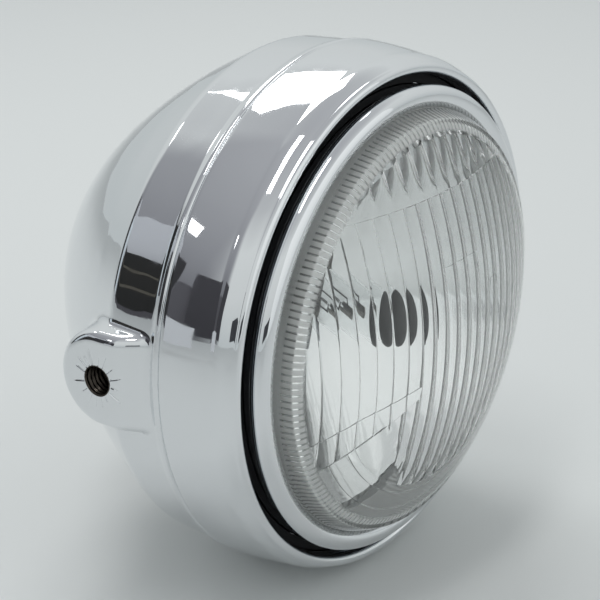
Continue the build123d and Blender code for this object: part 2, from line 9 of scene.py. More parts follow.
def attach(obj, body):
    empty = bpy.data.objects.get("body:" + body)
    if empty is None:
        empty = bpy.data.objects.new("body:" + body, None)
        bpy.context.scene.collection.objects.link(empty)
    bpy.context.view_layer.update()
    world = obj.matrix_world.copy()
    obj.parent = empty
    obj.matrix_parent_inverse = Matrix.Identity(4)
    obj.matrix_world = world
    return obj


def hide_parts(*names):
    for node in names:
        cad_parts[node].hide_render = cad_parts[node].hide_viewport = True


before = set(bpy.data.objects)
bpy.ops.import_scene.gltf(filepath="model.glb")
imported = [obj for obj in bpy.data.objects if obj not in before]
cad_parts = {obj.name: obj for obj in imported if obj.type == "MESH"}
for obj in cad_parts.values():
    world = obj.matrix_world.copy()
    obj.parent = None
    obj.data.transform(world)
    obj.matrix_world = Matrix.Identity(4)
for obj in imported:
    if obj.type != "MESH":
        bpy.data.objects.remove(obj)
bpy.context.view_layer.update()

# Bucket: the deep-drawn steel shell of the lamp, polished and chromed inside and out.
# A nearly straight band runs back from the seam, a soft shoulder turns it into the domed back,
# and a narrower spigot at the front carries the trim ring.
MM = 0.001
SEAM_RADIUS, SEAM_Y, SEAM_ROUND, SEAM_LAND, LAND_ROUND = 83.9, -19.7, 0.8, 1.6, 2.0
FLARE_LENGTH, FLARE_RISE, FLARE_ROUND = 3.4, 0.65, 4.0
SHOULDER_RADIUS, SHOULDER_ROUND = 82.2, 7.5
DOME_BACK, DOME_FULLNESS, DOME_START, SHELL_WALL = 71.5, 46.0, 8, 1.2
SPIGOT_RADIUS, SPIGOT_TIP_RADIUS, SPIGOT_LENGTH = 82.6, 81.675, 10.0
FILLET_STEP_DEGREES, HOLE_SIDES, SAME_POINT = 9, 128, 2e-7
OUTER_POINTS, INNER_POINTS, CHROME_STEPS = 90, 40, 384


def linear(code):
    """Linear colour from an sRGB hex value."""
    parts = [int(code[i:i + 2], 16) / 255 for i in (1, 3, 5)]
    return [c / 12.92 if c <= 0.04045 else ((c + 0.055) / 1.055) ** 2.4 for c in parts] + [1.0]


def add(tree, kind, settings=(), links=()):
    """A node with its settings, and links from other nodes' outputs to its inputs."""
    made = tree.nodes.new(kind)
    for name, value in dict(settings).items():
        if isinstance(name, int) or name in made.inputs:
            made.inputs[name].default_value = value
        else:
            setattr(made, name, value)
    for name, source in dict(links).items():
        tree.links.new(source, made.inputs[name])
    return made


def new_finish(name, settings):
    """A material with its shader set, and its tree to add detail to."""
    finish = bpy.data.materials.new(name)
    finish.use_nodes = True
    shader = finish.node_tree.nodes["Principled BSDF"]
    for key, value in settings.items():
        shader.inputs[key].default_value = value
    return finish, finish.node_tree, shader


def rounded(corners):
    """Closed outline through corners (radius, y, fillet), listed up the outside and down the inside."""
    outline = []
    for i, corner in enumerate(corners):
        here = Vector(corner[:2])
        before = (Vector(corners[i - 1][:2]) - here).normalized()
        after = (Vector(corners[(i + 1) % len(corners)][:2]) - here).normalized()
        fillet = corner[2] if len(corner) > 2 else 0
        if not fillet:
            outline.append(tuple(here))
            continue
        half = before.angle(after) / 2
        centre = here + (before + after).normalized() * fillet / math.sin(half)
        start = here + before * fillet / math.tan(half) - centre
        end = here + after * fillet / math.tan(half) - centre
        turn = math.pi - 2 * half
        steps = max(3, math.ceil(math.degrees(turn) / FILLET_STEP_DEGREES))
        for j in range(steps + 1):
            t = j / steps
            spoke = start * math.sin((1 - t) * turn) + end * math.sin(t * turn)
            outline.append(tuple(centre + spoke / math.sin(turn)))
    return outline


def skin(rows, around=False, flip=False):
    """Vertices and quads of a grid of points, one row after the other."""
    width = len(rows[0])
    faces = []
    for i in range(len(rows) - 1):
        for k in range(width if around else width - 1):
            n = (k + 1) % width
            quad = (i * width + k, (i + 1) * width + k, (i + 1) * width + n, i * width + n)
            faces.append(quad[::-1] if flip else quad)
    return np.array(rows, float).reshape(-1, 3), faces


def turned(outline, steps=256, close=True):
    """Skin of an outline (radius, y) turned about the lamp's axis."""
    ring = [(math.cos(a), math.sin(a)) for a in np.linspace(0, 2 * math.pi, steps, endpoint=False)]
    path = list(outline) + [outline[0]] if close else list(outline)
    return skin([[(r * c, y, r * s) for c, s in ring] for r, y in path], around=True)


def bored(made, start, end, radius):
    """Takes a round hole between two points in millimetres out of a closed piece."""
    middle, axis = (Vector(start) + Vector(end)) / 2, Vector(end) - Vector(start)
    work = bmesh.new()
    bmesh.ops.create_cone(work, cap_ends=True, segments=HOLE_SIDES, radius1=radius * MM, radius2=radius * MM,
                          depth=axis.length * MM, matrix=Matrix.Translation(middle * MM)
                          @ axis.to_track_quat("Z", "Y").to_matrix().to_4x4())
    drill = bpy.data.objects.new("drill", bpy.data.meshes.new("drill"))
    work.to_mesh(drill.data)
    work.free()
    bpy.context.scene.collection.objects.link(drill)
    made.modifiers.new("hole", "BOOLEAN").object = drill
    cut = bpy.data.meshes.new_from_object(made.evaluated_get(bpy.context.evaluated_depsgraph_get()))
    made.modifiers.clear()
    made.data = cut
    bpy.data.objects.remove(drill)


def piece(name, skins, finish, sharp=35, weighted=True, holes=()):
    """One object from its skins in millimetres, riding on the lamp."""
    points, faces, first = [], [], 0
    for verts, quads in skins:
        points.append(verts * MM)
        faces += [tuple(i + first for i in quad) for quad in quads]
        first += len(verts)
    mesh = bpy.data.meshes.new(name)
    mesh.from_pydata(np.concatenate(points), [], faces)
    work = bmesh.new()
    work.from_mesh(mesh)
    bmesh.ops.remove_doubles(work, verts=work.verts, dist=SAME_POINT)
    bmesh.ops.dissolve_degenerate(work, edges=work.edges, dist=SAME_POINT)
    work.to_mesh(mesh)
    work.free()
    mesh.materials.append(finish)
    made = bpy.data.objects.new(name, mesh)
    bpy.context.scene.collection.objects.link(made)
    for hole in holes:
        bored(made, *hole)
    made.data.shade_smooth()
    made.data.set_sharp_from_angle(angle=math.radians(sharp))
    if weighted:
        made.modifiers.new("even shading", "WEIGHTED_NORMAL").keep_sharp = True
    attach(made, "root")
    return made


def dome(start, fullness, back, steps):
    """Back of the bucket from the shoulder to the pole."""
    t = np.linspace(0, 1, steps)
    radius = (1 - t) ** 2 * start + 2 * t * (1 - t) * fullness
    y = 2 * t * (1 - t) * back + t ** 2 * back
    return list(zip(radius, y))


# Bright chrome plate over polished steel: a clear mirror with a cool grey body. The polish leaves
# very faint waves about 14 mm long, and a patchy haze about 3 mm across softens the highlights.
chrome, tree, shader = new_finish("polished_chrome_plate", {
    "Base Color": linear("#E6E8EA"), "Metallic": 1.0, "Roughness": 0.035})
place = add(tree, "ShaderNodeTexCoord").outputs["Object"]
waves = add(tree, "ShaderNodeTexNoise", {"Scale": 1 / (14 * MM), "Detail": 1.0}, {"Vector": place})
haze = add(tree, "ShaderNodeTexNoise", {"Scale": 1 / (3 * MM), "Detail": 4.0}, {"Vector": place})
polish = add(tree, "ShaderNodeMapRange", {"From Min": 0.35, "From Max": 0.75, "To Min": 0.02, "To Max": 0.07},
             {"Value": haze.outputs["Fac"]})
tree.links.new(polish.outputs["Result"], shader.inputs["Roughness"])
ripple = add(tree, "ShaderNodeBump", {"Strength": 0.45, "Distance": 0.4 * MM},
             {"Height": waves.outputs["Fac"]})
tree.links.new(ripple.outputs["Normal"], shader.inputs["Normal"])

outer = dome(SHOULDER_RADIUS, DOME_FULLNESS, DOME_BACK, OUTER_POINTS)
shell_outside = rounded([
    (SPIGOT_RADIUS, SEAM_Y), (SEAM_RADIUS, SEAM_Y, SEAM_ROUND),
    (SEAM_RADIUS, SEAM_Y + SEAM_LAND, LAND_ROUND),
    (SEAM_RADIUS - FLARE_RISE, SEAM_Y + FLARE_LENGTH, FLARE_ROUND),
    (SHOULDER_RADIUS, 0, SHOULDER_ROUND), outer[DOME_START]])[1:-1] + outer[DOME_START:]
inner = dome(SHOULDER_RADIUS - SHELL_WALL, DOME_FULLNESS - SHELL_WALL, DOME_BACK - SHELL_WALL, INNER_POINTS)
shell_inside = inner[::-1] + [
    (SEAM_RADIUS - FLARE_RISE - SHELL_WALL, SEAM_Y + SHELL_WALL),
    (SPIGOT_RADIUS - SHELL_WALL, SEAM_Y + SHELL_WALL),
    (SPIGOT_TIP_RADIUS - SHELL_WALL, SEAM_Y - SPIGOT_LENGTH)]
spigot = [(SPIGOT_TIP_RADIUS, SEAM_Y - SPIGOT_LENGTH), (SPIGOT_RADIUS, SEAM_Y)]
shell = turned(spigot + shell_outside + shell_inside, CHROME_STEPS)

# Holes: one across for the cores of both side bosses, and the cable inlet low on the back.
BOSS_OPENING, BOSS_DRILL, INLET_RADIUS, INLET_DEPTH = 9.9, 90, 6.5, 6.0
INLET, INLET_WAY = Vector((0, 43.0955, -54.0935)), Vector((0, 0.66218, -0.74935))
bucket = piece("bucket_shell", [shell], chrome, holes=[
    ((-BOSS_DRILL, 0, 0), (BOSS_DRILL, 0, 0), BOSS_OPENING),
    (INLET - INLET_WAY * INLET_DEPTH, INLET + INLET_WAY * INLET_DEPTH, INLET_RADIUS)])
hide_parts("bucket")

# Side bosses: steel, welded to the shell on both sides, ground and chromed with it, and tapped for
# a bracket's screw. Round the hole are the bites of a toothed washer. The root is a narrow hollow,
# and ahead of the hole the face sinks into the shell towards the seam.
BOSS_FACE, BOSS_RADIUS, BOSS_DRAFT, BOSS_ROOT, BOSS_EDGE = 87.6, 14.8, 5.0, 2.2, 3.0
FRONT_START, FRONT_RUN, FRONT_SOFT, FRONT_DROP, FRONT_ROOT = 7.0, 18.0, 0.012, 11.2, 0.6
BOSS_REACH, FRONT_REACH, SUNK = 26.0, 19.3, 0.8
CORE_RADIUS, CORE_FOOT, SLEEVE = 10.0, 73.0, 4.85
# Grid of the skin: its spokes, and its rows on the top share of the reach and on the rest.
BOSS_SPOKES, TOP_ROWS, ROOT_ROWS, TOP_SHARE, LEAST_FORWARD = 432, 84, 40, 0.6, 0.01
# Each point is found by halving the way from a little inside the shell to a little off the face.
SEARCH_IN, SEARCH_OUT, HALVINGS = 0.5, 0.01, 30
# The skin lies this much proud of the shell and dips under it over the last share of its reach.
PROUD, LAP_START, LAP = 0.006, 0.85, 0.15
BITE_DEPTH, BITE_WIDTH, BITE_RUNOUT, BITE_RUNIN = 0.26, 0.26, 1.2, 0.3
# Each bite: its angle in degrees, the radius where it ends and its share of the full depth.
BITES = [(12, 9.6, .9), (38, 8.2, .7), (64, 10.2, .9), (83, 9.8, .8), (101, 9.2, .9), (124, 7.6, .6),
         (148, 9.9, 1.0), (171, 8.0, .7), (197, 9.4, .8), (222, 8.8, .7), (246, 10.1, .9), (263, 8.6, .7),
         (287, 10.6, 1.0), (303, 9.0, 1.0), (318, 9.9, .8), (338, 9.0, .9)]
outside_y = np.array([p[1] for p in shell_outside])
outside_r = np.array([p[0] for p in shell_outside])
order = np.argsort(outside_y)


def eased(t):
    """0 well before the start of a slope and then rising, with a soft bend between."""
    return (t + np.sqrt(t ** 2 + FRONT_SOFT)) / 2


def boss_gap(x, rho, wall, forward):
    """Distance outside the boss and the shell joined by a hollow.

    Ahead of the hole the face sinks to the seam."""
    front = np.maximum(forward, 0)
    start = -FRONT_START / FRONT_RUN
    sink = eased(start + rho * front / FRONT_RUN) - eased(start)
    face = BOSS_FACE - FRONT_DROP * sink
    root = BOSS_ROOT * (1 + (FRONT_ROOT - 1) * front)
    draft = math.radians(BOSS_DRAFT)
    across = rho * np.sqrt(1 - front ** 2)
    side = (across - BOSS_RADIUS - (BOSS_FACE - x) * math.tan(draft)) * math.cos(draft) + BOSS_EDGE
    top = x - face + BOSS_EDGE
    beyond = np.hypot(np.maximum(side, 0), np.maximum(top, 0))
    boss = np.minimum(np.maximum(side, top), 0) + beyond - BOSS_EDGE
    shell_gap = x - wall
    blend = np.maximum(root - np.abs(boss - shell_gap), 0) / root
    return np.minimum(boss, shell_gap) - blend ** 2 * root / 4


def boss_skin(side):
    """Closed skin of a boss: its face, side and root over the shell, then the core behind them."""
    ring = np.radians(np.linspace(0, 360, BOSS_SPOKES, endpoint=False))
    across, up = np.cos(ring), np.sin(ring)
    reach = np.minimum(BOSS_REACH, FRONT_REACH / np.maximum(-across, LEAST_FORWARD))

    def shell_wall(rho):
        radius = np.interp(rho * across, outside_y[order], outside_r[order])
        return np.sqrt(radius ** 2 - (rho * up) ** 2)

    def row(x, rho):
        return np.stack([side * x, rho * across, side * rho * up], axis=1)

    rows = []
    shares = [np.linspace(0, TOP_SHARE, TOP_ROWS), np.linspace(TOP_SHARE, 1, ROOT_ROWS)[1:]]
    for part in np.concatenate(shares):
        rho = SLEEVE + (reach - SLEEVE) * part
        wall = shell_wall(rho)
        low, high = wall - SEARCH_IN, np.full_like(wall, BOSS_FACE + SEARCH_OUT)
        for _ in range(HALVINGS):
            x = (low + high) / 2
            outside = boss_gap(x, rho, wall, -across) > 0
            low, high = np.where(outside, low, x), np.where(outside, x, high)
        x = np.minimum(x, BOSS_FACE)
        for angle, bite_end, depth in BITES:
            off = np.radians((np.degrees(ring) - angle + 180) % 360 - 180) * rho
            fade = np.clip((bite_end - rho) / BITE_RUNOUT, 0, 1) * np.clip((rho - SLEEVE) / BITE_RUNIN, 0, 1)
            x -= BITE_DEPTH * depth * fade * np.exp(-(off / BITE_WIDTH) ** 2)
        rows.append(row(x + PROUD - 2 * PROUD * np.clip((part - LAP_START) / LAP, 0, 1), rho))
    rows.append(row(shell_wall(reach) - SUNK, reach))
    rows.append(row(shell_wall(CORE_RADIUS) - SUNK, CORE_RADIUS))
    rows += [row(np.full_like(ring, CORE_FOOT), radius) for radius in (CORE_RADIUS, SLEEVE)]
    return skin(rows + rows[:1], around=True)


THREAD_CORE, THREAD_PITCH, THREAD_DEPTH, THREAD_MOUTH = 4.25, 1.5, 0.5, 0.3
THREAD_FLANK, THREAD_CREST, THREAD_LEAD = 1.15, 0.05, 0.3
THREAD_SPOKES, ROWS_PER_TURN, SLEEVE_GAP = 96, 10, 0.01


def thread_skin(side):
    """Closed skin of the tapped sleeve in the middle of a boss."""
    ring = np.linspace(0, 2 * math.pi, THREAD_SPOKES, endpoint=False)

    def row(x, radius):
        spoke = (np.full_like(ring, side * x), radius * np.cos(ring), side * radius * np.sin(ring))
        return np.stack(spoke, axis=1)

    sleeve = SLEEVE - SLEEVE_GAP
    rows = [row(BOSS_FACE, sleeve), row(BOSS_FACE, THREAD_CORE + THREAD_MOUTH)]
    start = BOSS_FACE - THREAD_MOUTH
    for x in np.linspace(start, CORE_FOOT, int((start - CORE_FOOT) / THREAD_PITCH * ROWS_PER_TURN)):
        turn = (x / THREAD_PITCH - ring / (2 * math.pi)) % 1
        flank = THREAD_FLANK * (1 - np.abs(2 * turn - 1)) - THREAD_CREST
        groove = THREAD_DEPTH * np.clip(flank, 0, 1)
        rows.append(row(x, THREAD_CORE + groove * min(1, (start - x) / THREAD_PITCH + THREAD_LEAD)))
    return skin(rows + [row(CORE_FOOT, sleeve), rows[0]], around=True, flip=True)


# Freshly cut steel in the tapped holes: dark metal, blotched by cutting oil in spots about 1.2 mm across.
bare_steel, tree, shader = new_finish("oiled_cut_steel", {
    "Base Color": linear("#3B3733"), "Metallic": 1.0, "Roughness": 0.3})
place = add(tree, "ShaderNodeTexCoord").outputs["Object"]
oil = add(tree, "ShaderNodeTexNoise", {"Scale": 1 / (1.2 * MM), "Detail": 2.0}, {"Vector": place})
tone = add(tree, "ShaderNodeValToRGB", {}, {"Fac": oil.outputs["Fac"]})
tone.color_ramp.elements[0].color = linear("#1C1917")
tone.color_ramp.elements[1].color = linear("#5A544D")
tree.links.new(tone.outputs["Color"], shader.inputs["Base Color"])

for side, word in ((-1, "left"), (1, "right")):
    piece(f"boss_{word}", [boss_skin(side)], chrome, sharp=40, weighted=False)
    piece(f"boss_thread_{word}", [thread_skin(side)], bare_steel, sharp=40, weighted=False)

# Cable grommet: moulded rubber, pressed into a hole low on the back of the bucket.
# Black rubber: a deep grey-black with a dull, finely pebbled skin of about 0.4 mm grain.
rubber, tree, shader = new_finish("black_moulded_rubber", {
    "Base Color": linear("#0E0E10"), "Roughness": 0.8, "IOR": 1.52, "Specular IOR Level": 0.3})
place = add(tree, "ShaderNodeTexCoord").outputs["Object"]
pebble = add(tree, "ShaderNodeTexNoise", {"Scale": 1 / (0.4 * MM), "Detail": 2.0}, {"Vector": place})
tone = add(tree, "ShaderNodeValToRGB", {}, {"Fac": pebble.outputs["Fac"]})
tone.color_ramp.elements[0].color = linear("#08080A")
tone.color_ramp.elements[1].color = linear("#131315")
tree.links.new(tone.outputs["Color"], shader.inputs["Base Color"])
grain = add(tree, "ShaderNodeBump", {"Strength": 0.25, "Distance": 0.1 * MM},
            {"Height": pebble.outputs["Fac"]})
tree.links.new(grain.outputs["Normal"], shader.inputs["Normal"])


def dress(finish, *nodes):
    """Gives the CAD pieces of these names their finish."""
    for name in nodes:
        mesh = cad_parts[name].data
        mesh.materials.clear()
        mesh.materials.append(finish)


dress(rubber, "cable_grommet")

# Reflector: a spun sheet-metal parabola with a short neck for the bulb and a flat flange.
# Its inside carries a vapour-coated aluminium film under lacquer: a bright, clear mirror, faintly
# uneven from the spinning over about 18 mm.
FOCAL, MIRROR_VERTEX, NECK, MOUTH_RADIUS, REFLECTOR_WALL = 26.0, 0.1708, 19.0, 61.0, 1.4
FLANGE_FRONT, FLANGE_BACK, FLANGE_RADIUS, NECK_BACK, BOWL_POINTS = -35.6, -34.4, 78.95, 3.0, 60
mirror, tree, shader = new_finish("vapour_coated_aluminium", {
    "Base Color": linear("#EDEEEF"), "Metallic": 1.0, "Roughness": 0.03})
place = add(tree, "ShaderNodeTexCoord").outputs["Object"]
spun = add(tree, "ShaderNodeTexNoise", {"Scale": 1 / (18 * MM), "Detail": 2.0}, {"Vector": place})
sheen = add(tree, "ShaderNodeBump", {"Strength": 0.08, "Distance": 0.5 * MM}, {"Height": spun.outputs["Fac"]})
tree.links.new(sheen.outputs["Normal"], shader.inputs["Normal"])
film = add(tree, "ShaderNodeMapRange", {"To Min": 0.02, "To Max": 0.09}, {"Value": spun.outputs["Fac"]})
tree.links.new(film.outputs["Result"], shader.inputs["Roughness"])


def parabola(vertex, radii):
    """Points (radius, y) of the bowl for these radii."""
    return [(r, vertex - r * r / (4 * FOCAL)) for r in radii]


back_vertex = MIRROR_VERTEX + REFLECTOR_WALL
back_mouth = math.sqrt(4 * FOCAL * (back_vertex - FLANGE_BACK))
bowl = parabola(MIRROR_VERTEX, np.linspace(NECK, MOUTH_RADIUS, BOWL_POINTS))[::-1]
bowl_back = parabola(back_vertex, np.linspace(NECK + REFLECTOR_WALL, back_mouth, BOWL_POINTS))
neck_end = [(NECK, NECK_BACK), (NECK + REFLECTOR_WALL, NECK_BACK)]
flange = [(back_mouth, FLANGE_BACK), (FLANGE_RADIUS, FLANGE_BACK), (FLANGE_RADIUS, FLANGE_FRONT),
          (MOUTH_RADIUS, FLANGE_FRONT)]
reflector_outline = (flange + bowl + neck_end + bowl_back)[::-1]
reflector = piece("reflector_bowl", [turned(reflector_outline)], mirror)
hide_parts("reflector")

# Bulb: a twin-filament lamp with a base of nickelled sheet steel, held against the reflector's neck
# by a wire spring and covered from behind by a rubber boot.
dress(rubber, "bulb_boot")
# Nickel plate: a warm grey metal with a dull sheen, uneven over about 1.5 mm. Its grey is painted
# darker than bare nickel, as painted shade for the shadow and dark reflections round the bulb's base.
nickel_with_painted_shade, tree, shader = new_finish("nickel_plate_painted_dark", {
    "Base Color": linear("#7A7772"), "Metallic": 1.0, "Roughness": 0.4})
place = add(tree, "ShaderNodeTexCoord").outputs["Object"]
drawn = add(tree, "ShaderNodeTexNoise", {"Scale": 1 / (1.5 * MM), "Detail": 3.0}, {"Vector": place})
dull = add(tree, "ShaderNodeMapRange", {"To Min": 0.32, "To Max": 0.5}, {"Value": drawn.outputs["Fac"]})
tree.links.new(dull.outputs["Result"], shader.inputs["Roughness"])
# The bulb's base gets the nickel grey with its painted shade.
dress(nickel_with_painted_shade, "bulb_flange", "bulb_cap", "bulb_shield")

# Zinc plate: a pale blue-grey metal with a soft crystalline mottling about 2 mm across. It is on the
# bulb holder, the screws of its spring and the plate behind the trim ring's screw.
zinc, tree, shader = new_finish("zinc_plated_steel", {
    "Base Color": linear("#A9ADB1"), "Metallic": 1.0, "Roughness": 0.32})
place = add(tree, "ShaderNodeTexCoord").outputs["Object"]
spangle = add(tree, "ShaderNodeTexVoronoi", {"Scale": 1 / (2 * MM)}, {"Vector": place})
mottle = add(tree, "ShaderNodeMapRange", {"To Min": 0.24, "To Max": 0.42},
             {"Value": spangle.outputs["Distance"]})
tree.links.new(mottle.outputs["Result"], shader.inputs["Roughness"])
dress(zinc, "bulb_holder", "clip_screws", "ring_nut_plate")

# Spring steel: bare drawn wire and strip, darker than the zinc, with dull flecks about 0.6 mm across.
# The bulb's wire spring and the clips behind the reflector's flange are made of it.
spring, tree, shader = new_finish("bare_spring_steel", {
    "Base Color": linear("#7C7F83"), "Metallic": 1.0, "Roughness": 0.3})
place = add(tree, "ShaderNodeTexCoord").outputs["Object"]
flecks = add(tree, "ShaderNodeTexNoise", {"Scale": 1 / (0.6 * MM), "Detail": 2.0}, {"Vector": place})
fleck = add(tree, "ShaderNodeMapRange", {"To Min": 0.22, "To Max": 0.42}, {"Value": flecks.outputs["Fac"]})
tree.links.new(fleck.outputs["Result"], shader.inputs["Roughness"])
dress(spring, "bulb_clip", "insert_clips")

# Tungsten wire: dark grey drawn metal, with a burnt mottling of about 0.3 mm.
tungsten, tree, shader = new_finish("tungsten_wire", {
    "Base Color": linear("#5B5A5C"), "Metallic": 1.0, "Roughness": 0.38})
place = add(tree, "ShaderNodeTexCoord").outputs["Object"]
scale = add(tree, "ShaderNodeTexNoise", {"Scale": 1 / (0.3 * MM)}, {"Vector": place})
burnt = add(tree, "ShaderNodeMapRange", {"To Min": 0.3, "To Max": 0.5}, {"Value": scale.outputs["Fac"]})
tree.links.new(burnt.outputs["Result"], shader.inputs["Roughness"])
dress(tungsten, "bulb_lead_wires")

# Filaments: two tight coils of tungsten wire on the lamp's axis, wound on a mandrel and held
# between the ends of the lead wires.
COIL_RADIUS, COIL_WIRE, COIL_TURNS, STEPS_PER_TURN, WIRE_SIDES = 0.56, 0.14, 8, 20, 8
COILS = ((-28.33, -23.33), (-21.33, -16.33))


def coil_skin(front, back):
    """Closed skin of a coil between two places on the lamp's axis."""
    rows = []
    turn = 2 * math.pi * COIL_TURNS * COIL_RADIUS
    for t in np.linspace(0, 1, COIL_TURNS * STEPS_PER_TURN + 1):
        angle = 2 * math.pi * COIL_TURNS * t
        out = Vector((math.cos(angle), 0, math.sin(angle)))
        along = Vector((-turn * out.z, back - front, turn * out.x)).normalized()
        middle = out * COIL_RADIUS + Vector((0, front + (back - front) * t, 0))
        rows.append([middle + (out * math.cos(b) + along.cross(out) * math.sin(b)) * COIL_WIRE
                     for b in np.linspace(0, 2 * math.pi, WIRE_SIDES, endpoint=False)])
    ends = [[sum(row, Vector()) / len(row)] * len(row) for row in (rows[0], rows[-1])]
    return skin([ends[0]] + rows + [ends[1]], around=True)


coils = [coil_skin(*ends) for ends in COILS]
filaments = piece("filament_coils", coils, tungsten, sharp=60, weighted=False)
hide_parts("bulb_filaments")

# Contact blades: stamped from brass and tinned, set in the foot of the bulb's base.
# Tinned brass: a warm pale metal, wiped smooth but for a grain of about 1 mm.
tinned, tree, shader = new_finish("tinned_brass", {
    "Base Color": linear("#C9BE9A"), "Metallic": 1.0, "Roughness": 0.3})
place = add(tree, "ShaderNodeTexCoord").outputs["Object"]
wipe = add(tree, "ShaderNodeTexNoise", {"Scale": 1 / (1 * MM)}, {"Vector": place})
worn = add(tree, "ShaderNodeMapRange", {"To Min": 0.2, "To Max": 0.4}, {"Value": wipe.outputs["Fac"]})
tree.links.new(worn.outputs["Result"], shader.inputs["Roughness"])
dress(tinned, "bulb_terminals")

# Capsule of the bulb: a drawn glass tube, closed and rounded at the tip.
# Clear tube glass: smooth and colourless, with faint streaks 2 mm apart along the tube from drawing it.
tube_glass, tree, shader = new_finish("clear_tube_glass", {
    "Base Color": linear("#FAFBFB"), "Roughness": 0.0, "IOR": 1.48, "Transmission Weight": 1.0})
place = add(tree, "ShaderNodeTexCoord").outputs["Object"]
long_way = add(tree, "ShaderNodeMapping", {"Scale": (1.0, 0.08, 1.0)}, {"Vector": place})
streak = add(tree, "ShaderNodeTexNoise", {"Scale": 1 / (2 * MM)}, {"Vector": long_way.outputs["Vector"]})
drawing = add(tree, "ShaderNodeBump", {"Strength": 0.04, "Distance": 0.2 * MM},
              {"Height": streak.outputs["Fac"]})
tree.links.new(drawing.outputs["Normal"], shader.inputs["Normal"])
dress(tube_glass, "bulb_capsule")

# Tip of the bulb: dipped in heat-proof paint that keeps stray light off the road.
# Baked black paint: nearly matt and a little uneven, with specks about 0.8 mm across.
CAPSULE_RADIUS, CAPSULE_TIP, PAINT_START, PAINT_GAP, PAINT_THICKNESS = 8.8, -51.79, -42.0, 0.01, 0.06
TIP_POINTS, PAINT_STEPS = 24, 64
paint, tree, shader = new_finish("baked_black_paint", {
    "Base Color": linear("#2B2C2E"), "Roughness": 0.55, "IOR": 1.5})
place = add(tree, "ShaderNodeTexCoord").outputs["Object"]
specks = add(tree, "ShaderNodeTexNoise", {"Scale": 1 / (0.8 * MM), "Detail": 3.0}, {"Vector": place})
tone = add(tree, "ShaderNodeValToRGB", {}, {"Fac": specks.outputs["Fac"]})
tone.color_ramp.elements[0].color = linear("#1E1F21")
tone.color_ramp.elements[1].color = linear("#3A3B3D")
tree.links.new(tone.outputs["Color"], shader.inputs["Base Color"])


def round_end(radius):
    """Outline of the bulb's round end from the paint's edge to the tip."""
    middle = CAPSULE_TIP + CAPSULE_RADIUS
    return [(radius, PAINT_START)] + [(radius * math.cos(a), middle - radius * math.sin(a))
                                      for a in np.linspace(0, math.pi / 2, TIP_POINTS)]


paint_inside = CAPSULE_RADIUS + PAINT_GAP
painted = round_end(paint_inside) + round_end(paint_inside + PAINT_THICKNESS)[::-1]
piece("bulb_tip_paint", [turned(painted, PAINT_STEPS)], paint)

# Lens: pressed clear glass. The dome is smooth outside; inside it has upright flutes in
# fields with stepped edges, plain rings at the foot, and a ribbed side wall.
# It sits with its foot ring in the insert rim, bedded in sealant on the reflector's flange.
LENS_APEX, WALL_TOP_Y, WALL_TOP_RADIUS, WALL_TOP_ROUND = -71.5, -55.0, 64.6, 1.2
WALL_FOOT_Y, LENS_NECK_RADIUS, WALL_FOOT_ROUND = -50.0, 67.1, 1.0
LENS_FOOT_Y, LENS_FOOT_RADIUS, LENS_BACK = -42.0, 71.8, -38.0
GLASS, LENS_BORE, FIELD_RADIUS, FIELD_FADE = 4.0, 62.2, 60.3, 0.8
RIB_COUNT, RIB_DEPTH, RIB_SAMPLES, RIB_FOOT = 192, 0.15, 4, -47.8
lens_sphere = (WALL_TOP_RADIUS ** 2 + (LENS_APEX - WALL_TOP_Y) ** 2) / (2 * (WALL_TOP_Y - LENS_APEX))
sphere_y = LENS_APEX + lens_sphere
back_sphere = lens_sphere - GLASS

# Pressed lamp glass: clear with a trace of green, faintly uneven over 8 mm from the mould.
# The ribs are matt from the mould but for their bright edges, and the unpolished foot looks frosted.
RIB_MATT, RIB_EDGE, RIB_FLANK = 0.95, 0.04, 0.2
MATT_RADIUS, MATT_RADIUS_FULL, MATT_Y, MATT_Y_FULL = 63.2, 62.8, -53.2, -52.6
FROST, FROST_Y, FROST_Y_FULL = 0.5, -48.2, -47.4
lamp_glass, tree, shader = new_finish("pressed_lamp_glass", {
    "Base Color": linear("#FBFCFB"), "Roughness": 0.0, "IOR": 1.52, "Transmission Weight": 1.0})
place = add(tree, "ShaderNodeTexCoord").outputs["Object"]
flow = add(tree, "ShaderNodeTexNoise", {"Scale": 1 / (8 * MM), "Detail": 1.0}, {"Vector": place})
uneven = add(tree, "ShaderNodeBump", {"Strength": 0.05, "Distance": 0.3 * MM},
             {"Height": flow.outputs["Fac"]})
tree.links.new(uneven.outputs["Normal"], shader.inputs["Normal"])
along = add(tree, "ShaderNodeSeparateXYZ", {}, {"Vector": place})
frost = add(tree, "ShaderNodeMapRange",
            {"From Min": FROST_Y * MM, "From Max": FROST_Y_FULL * MM, "To Min": 0.0, "To Max": FROST},
            {"Value": along.outputs["Y"]})
tree.links.new(frost.outputs["Result"], shader.inputs["Roughness"])
turn = add(tree, "ShaderNodeMath", {"operation": "ARCTAN2"}, {0: along.outputs["Z"], 1: along.outputs["X"]})
count = add(tree, "ShaderNodeMath", {"operation": "MULTIPLY", 1: RIB_COUNT / (2 * math.pi)},
            {0: turn.outputs["Value"]})
across = add(tree, "ShaderNodeMath", {"operation": "PINGPONG", 1: 0.5}, {0: count.outputs["Value"]})
matt = add(tree, "ShaderNodeMapRange", {"From Min": RIB_EDGE, "From Max": RIB_FLANK, "To Max": RIB_MATT},
           {"Value": across.outputs["Value"]})
flat = add(tree, "ShaderNodeVectorMath", {"operation": "MULTIPLY", 1: (1, 0, 1)}, {0: place})
out = add(tree, "ShaderNodeVectorMath", {"operation": "LENGTH"}, {0: flat.outputs["Vector"]})
bore = add(tree, "ShaderNodeMapRange", {"From Min": MATT_RADIUS * MM, "From Max": MATT_RADIUS_FULL * MM},
           {"Value": out.outputs["Value"]})
wall = add(tree, "ShaderNodeMapRange", {"From Min": MATT_Y * MM, "From Max": MATT_Y_FULL * MM},
           {"Value": along.outputs["Y"]})
ribbed = add(tree, "ShaderNodeMath", {"operation": "MULTIPLY"},
             {0: bore.outputs["Result"], 1: wall.outputs["Result"]})
